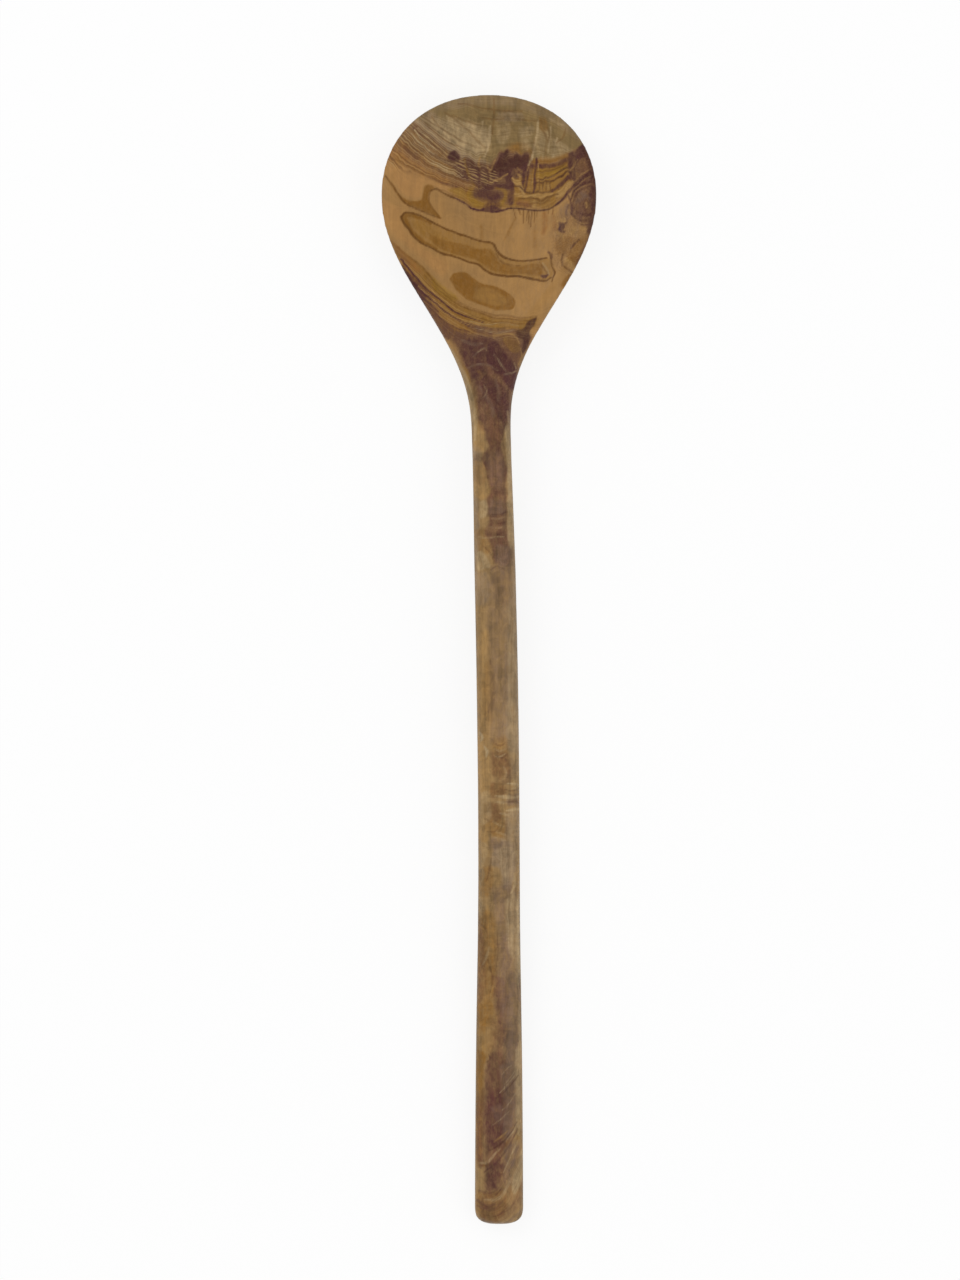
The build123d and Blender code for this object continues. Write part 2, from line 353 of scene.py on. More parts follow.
AREAS["dark"] = [
    (90, 30, [450,152, 456,151, 460,157, 457,162, 451,162, 447,157]),
    (50, 30, [413,124, 421,130, 424,137, 418,135, 412,130]),
    (85, 25, [489,176, 490,169, 494,162, 499,158, 503,152, 508,149, 509,154, 506,159, 512,158, 519,155,
        525,156, 529,159, 530,166, 524,171, 519,168, 514,169, 512,174, 514,181, 513,190, 508,189, 507,180,
        502,176, 496,177]),
    (65, 30, [457,160, 470,163, 484,167, 498,168, 498,183, 484,183, 470,177, 458,170]),
    (80, 25, [462,171, 468,173, 476,178, 484,181, 494,183, 508,182, 514,184, 512,190, 500,187, 488,187,
        478,183, 468,178]),
    (80, 20, [481,183, 488,182, 491,190, 483,190]),
    (70, 30, [477,189, 486,188, 497,191, 500,197, 492,201, 486,197, 478,196]),
    (60, 30, [484,203, 494,201, 502,205, 498,209, 484,209]),
    (70, 20, [510,178, 513,180, 514,192, 513,204, 509,202, 508,194, 510,188]),
    (70, 25, [530,163, 545,164, 560,161, 569,157, 570,161, 560,166, 545,169, 531,168]),
    (85, 25, [574,154, 579,147, 588,144, 598,160, 604,200, 600,234, 591,238, 592,222, 594,208, 590,196,
        594,186, 590,174, 592,167, 586,158, 580,160, 576,166]),
    (75, 20, [568,154, 573,152, 575,160, 572,172, 575,180, 571,184, 569,172]),
    (60, 20, [576,181, 584,176, 592,172, 592,186, 583,188, 577,194, 573,200, 572,192]),
    (70, 50, [466,340, 484,338, 496,342, 486,352, 486,372, 480,386, 474,380, 466,364, 460,350]),
    (95, 40, [486,342, 497,342, 505,354, 515,366, 518,372, 514,390, 506,384, 496,374, 486,362]),
    (75, 40, [482,374, 496,380, 508,392, 510,408, 504,424, 494,412, 484,400, 480,386]),
    (60, 80, [486,1096, 500,1090, 508,1108, 504,1130, 494,1146, 486,1136]),
    (45, 80, [489,1164, 500,1160, 504,1168, 498,1186, 488,1186]),
]
AREAS["mauve"] = [
    (40, 30, [578,195, 586,192, 590,200, 584,199, 577,205, 574,204]),
    (40, 50, [560,207, 566,203, 571,212, 569,220, 563,220, 559,214]),
    (30, 50, [486,456, 500,452, 504,470, 500,490, 491,486, 487,470]),
    (50, 40, [490,500, 504,502, 504,514, 490,514]),
    (60, 50, [496,545, 512,548, 514,562, 508,576, 496,570]),
    (45, 60, [490,566, 512,560, 516,600, 492,604]),
    (50, 50, [505,812, 519,812, 520,842, 506,844]),
    (35, 80, [486,600, 504,598, 508,640, 506,730, 488,735, 488,660]),
    (40, 30, [508,794, 519,794, 520,804, 508,804]),
    (50, 40, [490,838, 504,838, 500,848, 490,848]),
    (50, 60, [492,888, 510,884, 520,900, 518,930, 500,934, 494,912]),
    (50, 80, [500,930, 522,930, 526,1030, 508,1036, 500,1000]),
    (70, 70, [505,1028, 516,1030, 521,1060, 520,1110, 514,1132, 512,1104, 511,1078, 504,1052]),
    (30, 50, [490,1108, 503,1104, 508,1116, 498,1126]),
    (60, 50, [500,1066, 514,1062, 516,1100, 512,1136, 503,1136, 504,1100]),
    (50, 50, [504,1150, 519,1140, 520,1172, 506,1186]),
]
AREAS["amber"] = [
    (55, 30, [448,190, 463,188, 466,196, 458,197]),
    (60, 30, [469,186, 474,188, 474,197, 484,203, 476,206, 468,198]),
    (70, 30, [537,169, 550,169, 560,166, 567,167, 556,174, 545,177, 537,176]),
    (75, 40, [432,276, 446,288, 458,300, 448,300, 434,288]),
    (30, 15, [502,338, 513,338, 519,345, 519,351, 512,353, 505,346]),
]
AREAS["light"] = [
    (20, 30, [448,190, 463,188, 466,196, 458,197]),
    (28, 30, [475,290, 483,288, 496,291, 504,298, 506,305, 498,306, 486,303, 474,298]),
    (25, 40, [436,278, 448,289, 454,298, 440,290]),
    # The next five rows are light strips along the left edge of the neck and handle: painted sheen on
    # paler wood
    (30, 50, [478,636, 489,636, 490,732, 479,732]),
    (30, 30, [470,420, 484,424, 485,448, 480,452, 472,446]),
    (30, 30, [471,460, 482,462, 488,480, 489,496, 480,500, 472,490]),
    (30, 40, [478,736, 487,738, 490,780, 488,845, 478,850]),
    (15, 40, [477,1054, 484,1060, 482,1100, 477,1100]),
    (15, 50, [504,1196, 511,1180, 517,1160, 523,1142, 524,1180, 516,1200, 506,1206]),
]
AREAS["pale"] = [
    (80, 80, [440,119, 462,121, 480,126, 488,133, 486,152, 472,156, 455,147, 442,137, 434,126]),
    (40, 30, [518,127, 533,127, 533,136, 519,137]),
    (35, 40, [519,139, 531,139, 530,150, 523,152]),
    (30, 40, [497,124, 509,124, 507,142, 497,142]),
    (35, 50, [538,130, 548,132, 546,150, 538,156, 533,152]),
    (45, 50, [551,138, 566,146, 572,151, 566,154, 552,157]),
    # From here to the end of this list, most rows are pale strips along the right and left edges of the
    # handle: painted sheen on paler wood
    (60, 30, [505,428, 510,424, 513,500, 514,545, 508,540, 508,480]),
    (35, 40, [508,640, 517,640, 518,780, 512,780, 508,730]),
    (40, 40, [507,812, 518,812, 519,842, 508,842]),
    (50, 40, [506,900, 516,896, 517,955, 509,950]),
    (50, 20, [479,502, 486,502, 488,514, 481,518]),
    (60, 20, [477,553, 483,552, 490,565, 484,569, 477,570]),
    (30, 60, [512,560, 519,590, 519,640, 512,650, 509,610]),
    (35, 40, [511,682, 518,684, 518,710, 512,716]),
    (30, 50, [511,725, 518,725, 519,782, 513,770]),
    (25, 40, [498,848, 512,846, 513,872, 504,880, 500,862]),
    (40, 30, [479,794, 489,792, 491,814, 485,824, 479,818]),
    (35, 30, [479,842, 488,846, 484,866, 479,868]),
    (35, 40, [478,896, 484,900, 483,916, 478,914]),
    (40, 30, [514,898, 520,900, 521,940, 516,936]),
    (35, 40, [512,950, 521,946, 522,990, 516,980]),
    (55, 30, [515,1050, 521,1046, 521,1130, 516,1120]),
    (70, 30, [512,1184, 518,1164, 523,1150, 523,1176, 515,1194]),
]
AREAS["line"] = [
    (85, 20, [516,331, 524,328, 527,322, 536,318, 534,326, 530,332, 530,341, 524,352, 521,350, 523,341,
        517,337]),
]
AREAS["knot"] = [
    (45, 60, [446,330, 480,335, 515,335, 533,322, 530,345, 518,375, 514,402, 512,425, 480,425, 474,395,
        460,365]),
    (60, 60, [572,155, 592,150, 605,180, 605,225, 590,245, 568,215, 563,190]),
    (70, 80, [553,215, 580,212, 600,225, 592,255, 575,275, 558,270, 552,245]),
    (30, 80, [500,150, 530,155, 525,180, 500,195, 470,190, 450,165]),
    (25, 80, [480,425, 506,425, 508,500, 512,560, 492,560, 486,500]),
]
AREAS["rings"] = [
    (100, 80, [385,150, 400,118, 425,112, 470,140, 490,160, 492,188, 470,192, 430,178, 388,165]),
    (50, 60, [392,240, 430,278, 470,312, 540,320, 535,335, 490,345, 440,330, 405,285]),
    (35, 60, [430,188, 500,165, 575,160, 575,190, 550,208, 480,208]),
    (35, 80, [440,95, 560,100, 590,150, 480,158]),
    (25, 80, [510,1130, 530,1090, 530,1225, 475,1225, 476,1200, 496,1195]),
    (10, 80, [465,420, 520,420, 530,1060, 480,1060, 470,800]),
]
AREAS["flame"] = [
    (50, 80, [486,470, 510,470, 514,560, 488,560]),
    (35, 80, [470,725, 520,725, 525,775, 472,775]),
    (35, 80, [484,772, 524,772, 524,862, 500,866, 482,850]),
    (35, 80, [474,866, 524,866, 528,1020, 476,1020]),
]
AREAS["bars"] = [
    (100, 15, [455,160, 464,162, 466,171, 457,168]),
    (100, 15, [469,167, 476,170, 477,181, 469,178]),
    (100, 15, [480,171, 486,173, 487,184, 480,181]),
    (90, 15, [489,168, 496,172, 498,181, 489,181]),
]

# Brush lines of each tone: strength and softness as above, and x, y and the line's half width in
# tenths of a pixel at each point
LINES = {}
# Painted sheen in part: grey strips along the right edge of the neck and the left edge of the handle
LINES["grey_and_sheen"] = [
    (80, 20, [514,390,6, 511,405,12, 511,425,18]),
    (60, 30, [476,500,20, 478,530,20, 477,560,20]),
]
LINES["orange"] = [
    (80, 30, [518,203,20, 525,204,35, 532,206,20]),
    (70, 40, [545,213,20, 546,224,30, 544,233,20]),
    (50, 30, [554,212,15, 555,230,20]),
]
LINES["brown"] = [
    (40, 50, [535,226,15, 535,245,25]),
    (35, 30, [481,225,15, 482,238,15]),
    (50, 20, [516,218,8, 510,228,10, 504,241,7]),
    (40, 15, [513,222,5, 508,236,7]),
    (90, 25, [403,218,22, 409,215,24, 419,218,18, 431,224,10]),
    (90, 25, [405,220,24, 411,231,20, 423,241,16, 436,249,10]),
    (50, 15, [551,254,16, 552,262,8, 554,273,10]),
    # The next two lines are painted shade: darker bands along the right and lower right rim of the bowl,
    # and along its lower left rim
    (40, 70, [600,215,30, 592,248,40, 574,285,40, 552,316,30]),
    (35, 60, [378,215,10, 388,243,30, 400,266,40]),
    (80, 20, [492,1144,8, 500,1139,18, 507,1133,12, 513,1124,7]),
    (70, 20, [480,1166,10, 487,1164,22, 495,1156,20, 503,1148,16, 510,1138,10]),
    (40, 30, [500,1176,10, 508,1163,20, 515,1147,16, 521,1130,10]),
]
LINES["heart"] = [
    (60, 30, [398,143,10, 410,153,20, 420,161,15]),
    (35, 40, [392,147,20, 412,158,30, 436,171,30, 466,184,25]),
    (45, 40, [393,141,20, 406,149,40, 418,157,30, 430,164,15]),
    (40, 30, [480,922,10, 482,940,20, 482,965,15]),
    (70, 30, [480,1190,8, 489,1193,18, 499,1187,16, 507,1176,13, 514,1159,10, 520,1143,6]),
    (80, 20, [478,1206,10, 487,1209,20, 496,1207,14, 505,1197,8]),
    (70, 30, [500,1214,10, 510,1208,16, 517,1197,11, 522,1182,6]),
]
LINES["dark"] = [
    (60, 20, [444,162,6, 452,168,10, 464,176,16, 478,183,20, 494,186,16]),
    (50, 15, [426,177,5, 440,182,9, 454,187,11, 466,191,8]),
    (80, 12, [467,163,10, 467,173,14, 467,180,10]),
    (80, 12, [478,166,10, 478,178,14, 479,186,10]),
    (80, 12, [488,168,10, 488,178,10, 487,186,14]),
    (85, 18, [520,166,12, 524,174,16, 523,184,15, 521,191,8]),
    (80, 15, [529,163,13, 528,176,11, 526,186,11, 523,194,8]),
    (85, 15, [536,158,10, 537,167,18, 535,176,12, 535,185,15, 533,192,8]),
    (70, 12, [517,162,8, 519,168,12, 516,174,8]),
    (60, 12, [556,188,6, 560,193,10, 556,199,6]),
    (85, 18, [552,193,9, 559,186,18, 566,179,20, 573,174,16]),
    (85, 18, [555,206,10, 562,200,16, 568,193,18, 575,184,14]),
    (40, 30, [518,204,15, 525,205,25, 531,206,15]),
    (95, 11, [450,197,6, 458,200,9, 466,203,9, 472,208,11, 482,210,12, 498,211,12, 512,208,8]),
    (90, 15, [480,209,7, 486,208,18, 493,208,24, 499,209,13, 504,210,4]),
    (60, 12, [549,253,10, 552,256,14, 552,260,8]),
    (75, 15, [541,276,12, 544,277,18, 547,275,9]),
    (85, 15, [592,172,24, 584,178,20, 577,186,15, 573,196,10]),
    (75, 15, [579,158,18, 574,168,18, 574,180,12]),
    (70, 20, [593,188,20, 590,198,15, 592,210,20]),
    (70, 12, [568,196,10, 571,204,12, 572,214,8]),
    (80, 12, [580,214,6, 585,217,10, 592,214,10]),
    (70, 12, [576,222,6, 582,225,9, 590,223,12]),
    (90, 15, [559,223,10, 562,227,28, 560,231,18, 564,233,10]),
    (60, 20, [560,227,12, 567,223,12, 566,214,10, 568,206,10]),
    (45, 30, [576,266,20, 585,250,24, 590,236,24]),
    (100, 10, [401,260,12, 413,275,13, 426,289,12, 440,300,9, 454,311,8, 468,318,7, 484,323,4]),
    (100, 12, [413,284,16, 426,296,16, 441,308,10, 456,319,11, 468,326,8, 480,330,4]),
    (60, 12, [404,270,6, 414,281,16, 422,290,20, 430,297,10, 440,304,5]),
    (70, 12, [410,285,8, 421,299,10, 437,314,10, 455,328,9, 470,333,6]),
    (70, 25, [404,272,20, 414,288,26, 424,300,24, 438,312,15]),
    (50, 15, [491,659,6, 491,664,8]),
    (50, 15, [490,704,6, 489,712,9]),
    (60, 13, [484,1172,6, 493,1165,10, 503,1155,10, 512,1141,8, 520,1122,5]),
    (50, 25, [478,1200,15, 486,1206,18, 494,1204,10]),
]
LINES["mauve"] = [
    (55, 13, [468,369,6, 478,365,9, 488,366,9, 498,371,6]),
    (70, 11, [494,356,5, 500,364,7, 506,372,5]),
    (60, 13, [504,375,6, 511,374,9, 517,371,7]),
    (50, 13, [474,358,6, 480,350,8, 488,348,6]),
    (40, 20, [462,341,10, 472,345,16, 482,344,10]),
    (40, 25, [480,388,10, 488,400,20, 494,416,16]),
    (40, 25, [496,380,10, 499,392,16, 498,402,10]),
    (60, 30, [480,1219,15, 494,1224,18, 508,1222,18, 520,1212,15]),
    (50, 30, [524,1130,10, 526,1160,15, 525,1195,15]),
]
LINES["amber"] = [
    (60, 20, [496,187,8, 504,190,14, 505,199,14, 500,206,8]),
    (50, 20, [464,160,8, 466,168,12, 470,178,10, 474,186,8]),
    (35, 20, [464,367,12, 468,376,16, 469,383,10]),
    (25, 20, [477,372,10, 482,376,16, 479,381,10]),
]
LINES["light"] = [
    (50, 10, [424,158,5, 440,166,8, 456,172,6]),
    (70, 15, [483,182,6, 492,181,10, 501,177,10, 508,172,6]),
    (60, 15, [480,156,6, 478,163,10, 480,169,6]),
    (50, 15, [487,158,6, 487,166,10, 489,172,6]),
    (50, 15, [495,158,6, 492,166,10, 490,170,6]),
    (60, 15, [529,158,6, 530,163,9, 528,170,6]),
    (70, 12, [517,171,6, 521,176,10, 519,181,8]),
    (60, 12, [517,166,6, 522,170,8]),
    (95, 18, [514,180,16, 518,181,30, 521,187,20, 524,194,12]),
    (80, 18, [516,194,20, 527,196,20, 540,196,20, 552,195,15]),
    (60, 20, [531,170,6, 532,180,10, 530,189,8]),
    (90, 20, [557,196,25, 564,190,34, 571,182,22]),
    (60, 20, [535,200,10, 535,205,20, 533,208,10]),
    (50, 15, [545,184,6, 549,187,12, 548,190,7]),
    (60, 15, [568,171,6, 573,168,10, 576,162,7]),
    (50, 10, [538,164,5, 539,174,8, 538,186,5]),
    (45, 10, [542,184,4, 542,191,5]),
    (45, 10, [549,184,5, 550,189,7]),
    (40, 11, [571,203,5, 575,193,8, 584,187,7, 593,184,4]),
    (40, 11, [571,186,4, 577,178,7, 586,172,7, 592,168,4]),
    (35, 11, [572,176,4, 574,168,7, 578,160,4]),
    (35, 12, [574,190,5, 582,182,7, 592,176,5]),
    (40, 12, [573,217,5, 580,224,7, 590,223,5]),
    (70, 15, [585,203,8, 586,208,10]),
    (60, 12, [558,219,6, 562,222,9, 568,221,6]),
    (50, 30, [555,212,10, 558,222,16, 566,218,15]),
    (50, 20, [566,236,10, 574,232,18, 583,228,12]),
    (50, 40, [570,231,20, 578,230,20, 586,229,15]),
    (60, 15, [556,233,8, 562,236,12, 564,240,7]),
    (80, 25, [566,260,15, 571,265,20, 575,270,15]),
    (60, 9, [404,262,4, 417,277,5, 433,292,6, 449,304,6, 466,314,6, 480,318,4]),
    (70, 9, [418,287,4, 432,299,6, 447,310,6, 462,320,6, 480,326,5]),
    (60, 9, [431,302,4, 444,312,5, 458,321,5, 474,328,4]),
    (50, 9, [424,302,4, 437,313,5, 452,325,5]),
    (60, 13, [494,335,5, 508,335,8, 515,337,9, 519,343,7]),
    (60, 12, [520,348,5, 521,355,7, 518,364,5]),
    (35, 30, [488,905,10, 490,930,20, 492,955,10]),
    (35, 12, [494,1142,5, 501,1137,10, 507,1131,6]),
]
LINES["pale"] = [
    (100, 12, [490,126,9, 489,138,15, 487,149,12, 484,158,7]),
    (75, 12, [483,122,8, 482,138,8, 480,152,7]),
    (95, 13, [432,121,8, 438,128,12, 447,134,13, 457,140,10]),
    (70, 13, [447,117,7, 452,124,9, 458,131,7]),
    (70, 13, [456,120,7, 464,129,10, 473,136,8]),
    (85, 13, [538,121,8, 537,138,10, 533,152,10, 529,166,7]),
    (65, 13, [550,127,7, 550,140,9, 549,153,7]),
    (70, 13, [557,139,8, 555,149,10, 553,157,8]),
    (45, 15, [545,140,6, 544,150,8, 543,160,7]),
    (45, 15, [549,119,6, 556,124,10, 562,126,7]),
    (100, 9, [414,130,5, 420,138,9, 428,145,8, 436,150,5]),
    (80, 9, [417,128,5, 424,135,8, 432,142,5]),
    (90, 9, [411,134,4, 418,142,7, 426,149,7, 434,154,4]),
    (60, 9, [422,127,4, 429,133,7, 437,138,5]),
    (70, 10, [424,155,5, 436,163,9, 450,170,9, 463,175,5]),
    (60, 10, [428,161,5, 440,168,8, 455,175,6]),
    (50, 10, [432,168,4, 446,173,6, 460,178,4]),
    (45, 10, [440,158,4, 452,165,5, 462,170,4]),
    (40, 10, [405,137,4, 416,147,5, 428,156,4]),
    (50, 12, [543,264,6, 546,269,9, 548,275,6]),
    (35, 10, [470,322,5, 486,325,6, 500,323,6, 518,326,5]),
    (40, 10, [474,329,5, 490,332,6, 504,333,6, 514,331,4]),
    # A pale strip along the left edge of the neck: painted sheen on paler wood
    (50, 25, [441,336,6, 450,350,14, 459,365,24, 466,382,26, 471,400,30, 473,425,34]),
    (45, 9, [478,352,4, 484,349,5, 487,352,4]),
    (40, 9, [484,386,4, 487,392,6, 482,399,4]),
    (40, 9, [497,360,3, 502,367,5]),
    (45, 10, [514,363,4, 516,369,6]),
    (30, 9, [506,374,4, 512,373,5, 516,371,4]),
    # The next two lines are pale strips along the left and right edges of the handle: painted sheen on
    # paler wood
    (45, 20, [474,408,15, 476,420,20, 475,440,14]),
    (45, 30, [508,412,10, 509,440,18, 511,480,22, 512,520,18, 513,540,12]),
    (25, 15, [492,518,6, 499,519,10, 506,517,6]),
    (25, 15, [490,527,6, 499,528,10, 506,526,6]),
    (40, 10, [478,537,5, 490,538,7, 504,536,5]),
    (100, 15, [479,733,8, 482,738,14, 480,742,8]),
    (90, 15, [484,746,6, 487,751,16, 486,757,8]),
    (40, 12, [494,748,5, 500,751,8, 506,748,5]),
    (40, 15, [503,766,6, 506,774,10, 503,780,6]),
    (90, 10, [508,784,5, 514,784,12, 520,785,16]),
    (60, 10, [512,789,4, 516,789,8, 520,790,10]),
    (70, 12, [496,796,6, 506,797,16, 514,797,10, 520,797,8]),
    (50, 15, [497,801,8, 504,802,16, 508,801,8]),
    (85, 12, [506,810,6, 513,809,16, 519,808,10]),
    (60, 12, [500,813,6, 505,814,14, 509,815,8]),
    (50, 12, [502,818,5, 507,818,8]),
    (50, 10, [494,756,5, 499,757,9, 505,754,5]),
    (50, 10, [492,821,4, 498,825,7, 503,827,4]),
    (35, 12, [496,832,5, 504,834,8, 510,833,5]),
    (40, 12, [495,838,5, 503,839,8, 510,838,5]),
    # A pale strip along the right edge of the handle: painted sheen on paler wood
    (35, 20, [515,822,10, 516,842,16, 517,862,12]),
    (50, 12, [511,847,5, 515,850,9, 512,855,5]),
    (65, 18, [514,874,8, 515,884,14, 511,893,8]),
    (40, 12, [481,862,6, 483,874,9, 480,884,6]),
    (40, 20, [489,948,10, 487,956,14, 483,964,8]),
    # The next two lines are pale strips along the right edge of the handle: painted sheen on paler wood
    (80, 25, [517,900,12, 518,930,20, 519,960,22, 519,985,14]),
    (40, 25, [519,1005,10, 520,1030,18, 521,1050,10]),
    (40, 9, [503,1074,4, 509,1068,5, 512,1066,4]),
    (40, 9, [505,1084,4, 511,1077,5, 515,1071,4]),
    (45, 9, [500,1092,4, 508,1084,5, 516,1074,5, 521,1064,4]),
    (35, 9, [502,1110,4, 511,1100,5, 519,1088,4]),
    (30, 9, [492,1126,4, 502,1118,5, 510,1110,4]),
    # A pale strip along the right edge of the handle: painted sheen on paler wood
    (45, 20, [519,1010,10, 520,1050,16, 520,1090,16, 519,1120,10]),
    (35, 13, [479,1164,8, 486,1163,14, 494,1155,11, 500,1149,6]),
    (50, 11, [507,1139,5, 514,1129,9, 519,1116,6]),
    (50, 12, [504,1172,5, 511,1157,9, 518,1140,6]),
    (40, 20, [484,1199,8, 494,1200,16, 503,1194,14, 510,1182,8]),
]
LINES["vein"] = [
    (45, 12, [458,104,6, 475,107,8, 490,110,8, 505,112,9, 522,112,6]),
    (40, 12, [482,118,6, 492,119,8, 504,119,6]),
    (35, 12, [517,120,6, 530,121,8, 540,121,7]),
    (40, 15, [445,114,7, 455,120,9, 465,129,9, 477,140,9, 486,148,7]),
    (40, 12, [453,116,6, 463,121,8, 473,124,8, 482,126,5]),
    (50, 15, [494,99,8, 494,115,9, 492,134,7]),
    (40, 12, [432,118,6, 437,125,9, 447,133,9, 460,140,7]),
    (45, 12, [425,124,6, 434,133,9, 447,142,9, 458,147,6]),
    (50, 15, [541,129,8, 545,135,9, 548,141,6]),
    (40, 15, [546,127,6, 549,134,8, 549,142,6]),
    (40, 15, [565,130,6, 563,138,9, 557,144,6]),
    (35, 15, [536,141,6, 533,150,8, 529,156,6]),
    (35, 15, [547,141,6, 546,150,7, 547,158,5]),
    (50, 10, [409,128,4, 419,138,5, 430,148,6, 443,156,4]),
    (50, 10, [403,133,4, 414,145,5, 428,157,6, 446,167,6, 462,174,4]),
    (45, 10, [396,141,4, 410,154,5, 430,167,6, 450,176,6, 466,182,4]),
    (50, 12, [390,158,4, 404,164,6, 422,174,7, 440,181,6]),
    (70, 15, [538,172,8, 548,171,9, 558,168,9, 566,164,7]),
    (80, 12, [519,199,8, 530,198,9, 540,200,9, 550,197,9, 557,195,7]),
    (60, 15, [530,204,9, 540,203,10, 549,200,9]),
    (90, 11, [431,190,8, 436,189,9, 445,194,9, 453,198,9]),
    (70, 10, [514,209,6, 516,217,5]),
    (80, 10, [519,209,6, 521,214,5]),
    (80, 10, [524,210,6, 524,223,5]),
    (70, 10, [527,211,5, 527,221,5]),
    (80, 10, [529,211,6, 529,224,5]),
    (80, 10, [532,211,6, 531,227,5]),
    (70, 10, [535,211,6, 534,223,5]),
    (60, 10, [538,211,5, 537,217,5]),
    (50, 12, [548,206,6, 549,214,5]),
    (50, 12, [553,205,6, 553,215,5]),
    (75, 11, [386,177,9, 393,186,9, 399,195,9, 406,204,9, 419,210,9, 431,215,9, 440,218,5]),
    (50, 13, [430,191,8, 429,199,8, 433,208,8, 439,216,6]),
    (95, 11, [401,218,10, 406,213,10, 418,215,10, 432,222,10, 447,229,10, 462,235,10, 477,240,10,
        492,244,11, 497,251,13, 502,256,16, 508,259,13, 514,260,10, 529,261,9, 547,259,8]),
    (95, 11, [401,217,10, 404,225,12, 412,234,12, 420,242,10, 436,251,10, 453,257,9, 468,262,9, 478,265,10,
        484,270,11, 494,275,12, 512,276,12, 529,279,11, 544,281,9, 550,278,7]),
    (60, 15, [496,254,6, 500,261,12, 506,265,8, 520,266,5]),
    (90, 10, [551,256,9, 552,266,6, 554,273,10, 552,278,6, 551,282,4]),
    (60, 12, [540,263,6, 543,268,9, 546,273,7]),
    (80, 15, [563,255,12, 562,261,10, 565,268,10, 572,272,9]),
    (50, 15, [398,247,6, 410,258,6, 422,267,9, 434,281,9, 449,295,7, 466,306,6, 490,314,8, 518,318,9,
        536,317,6]),
    (60, 10, [424,275,4, 440,291,7, 458,305,8, 476,312,6, 500,319,8, 530,321,5]),
    (50, 10, [414,270,4, 430,286,6, 447,300,6, 460,309,5]),
    (50, 10, [470,316,4, 490,321,6, 510,323,7, 524,324,5]),
    (40, 10, [440,287,4, 452,299,5, 470,309,5, 495,317,5]),
]
LINES["line"] = [
    (50, 10, [424,139,4, 434,146,6, 444,151,6]),
    (50, 10, [398,135,6, 408,145,8, 420,154,6]),
    (60, 12, [430,152,6, 442,159,9, 454,164,7]),
    (75, 35, [490,175,20, 498,167,45, 505,160,40, 507,152,15]),
    (45, 25, [450,157,25, 453,156,35, 456,158,30]),
    (60, 35, [503,168,30, 512,163,50, 521,160,40, 529,161,20]),
    (60, 25, [471,163,15, 473,168,25, 480,168,15]),
    (50, 25, [484,182,15, 487,176,20, 486,170,10]),
    (50, 12, [540,180,7, 540,190,6]),
    (50, 12, [544,182,7, 543,189,6]),
    (50, 12, [547,182,7, 547,191,6]),
    (50, 12, [550,182,6, 551,191,6]),
    (50, 12, [514,170,8, 516,178,8]),
    (40, 12, [532,170,7, 531,188,6]),
    (75, 12, [539,179,7, 550,177,8, 557,174,9, 563,169,10, 569,168,8]),
    (75, 12, [536,183,7, 545,181,8, 553,181,9, 560,177,10, 566,172,10, 572,172,8]),
    (70, 12, [513,186,8, 519,185,9, 524,190,9, 530,193,9, 540,192,8, 548,193,8, 553,190,7]),
    (85, 11, [508,208,7, 524,209,9, 536,211,10, 548,209,9, 556,205,8, 562,200,5]),
    (75, 12, [571,200,6, 575,191,10, 583,185,9, 594,181,7]),
    # Partly dark burl and partly painted shade: a dark band just inside the right rim of the bowl
    (75, 25, [584,151,20, 590,163,30, 594,180,32, 595,200,30, 592,220,30, 588,233,20]),
    (50, 12, [573,202,7, 580,192,7, 592,186,7]),
    (50, 12, [576,186,7, 584,178,8, 593,172,7]),
    (60, 12, [572,214,7, 579,221,9, 588,220,9, 596,214,7]),
    (40, 12, [574,209,6, 580,215,7, 590,214,6]),
    (50, 10, [585,200,5, 588,205,7, 585,211,5, 582,206,5, 585,200,5]),
    (70, 15, [571,250,7, 574,246,12, 579,240,7]),
    (85, 25, [402,268,15, 410,284,26, 418,298,20, 424,306,10]),
    (40, 12, [488,328,5, 500,329,12, 510,328,6]),
    (70, 15, [478,370,6, 485,373,10, 487,380,8]),
    (60, 13, [484,384,6, 483,396,9, 479,404,6]),
    (60, 11, [488,396,5, 498,404,7, 506,418,5]),
    (50, 10, [502,382,5, 503,408,5]),
    (50, 10, [509,386,5, 508,400,5]),
    (35, 12, [482,458,7, 486,470,8, 489,488,6]),
    (35, 12, [505,424,6, 503,440,8, 506,458,6]),
    (30, 12, [498,420,5, 500,440,8, 498,456,6]),
    (35, 12, [492,514,6, 500,515,9, 506,513,6]),
    (35, 12, [491,522,6, 499,524,9, 506,522,6]),
    (35, 12, [490,532,6, 499,534,9, 508,531,6]),
    (40, 12, [483,546,5, 490,552,7, 494,562,5]),
    (30, 12, [490,570,5, 496,566,7, 504,570,5]),
    (40, 12, [494,742,5, 500,745,8, 505,742,5]),
    (40, 12, [496,756,5, 502,758,8, 507,754,5]),
    (45, 12, [505,790,5, 512,791,7, 519,789,6]),
    (45, 12, [504,801,5, 512,801,7, 520,800,6]),
    (30, 13, [484,818,5, 491,822,8, 498,818,6]),
    (30, 13, [487,831,5, 494,832,8, 499,826,6]),
    (35, 12, [492,858,5, 490,868,8, 486,880,5]),
    (35, 13, [476,922,5, 484,926,8, 488,936,5]),
    (35, 15, [488,960,6, 492,975,9, 490,992,6]),
    (35, 15, [497,930,5, 498,950,8, 496,970,5]),
    (60, 10, [519,974,5, 520,990,7]),
    (50, 9, [502,1094,4, 510,1086,6, 518,1076,5]),
    (50, 15, [487,1062,6, 490,1058,10, 488,1054,5]),
    (60, 13, [489,1151,6, 499,1145,10, 509,1135,8, 517,1121,5]),
    (40, 12, [494,1196,5, 502,1188,8, 510,1174,5]),
    (35, 12, [484,1215,5, 496,1216,8, 506,1208,5]),
]

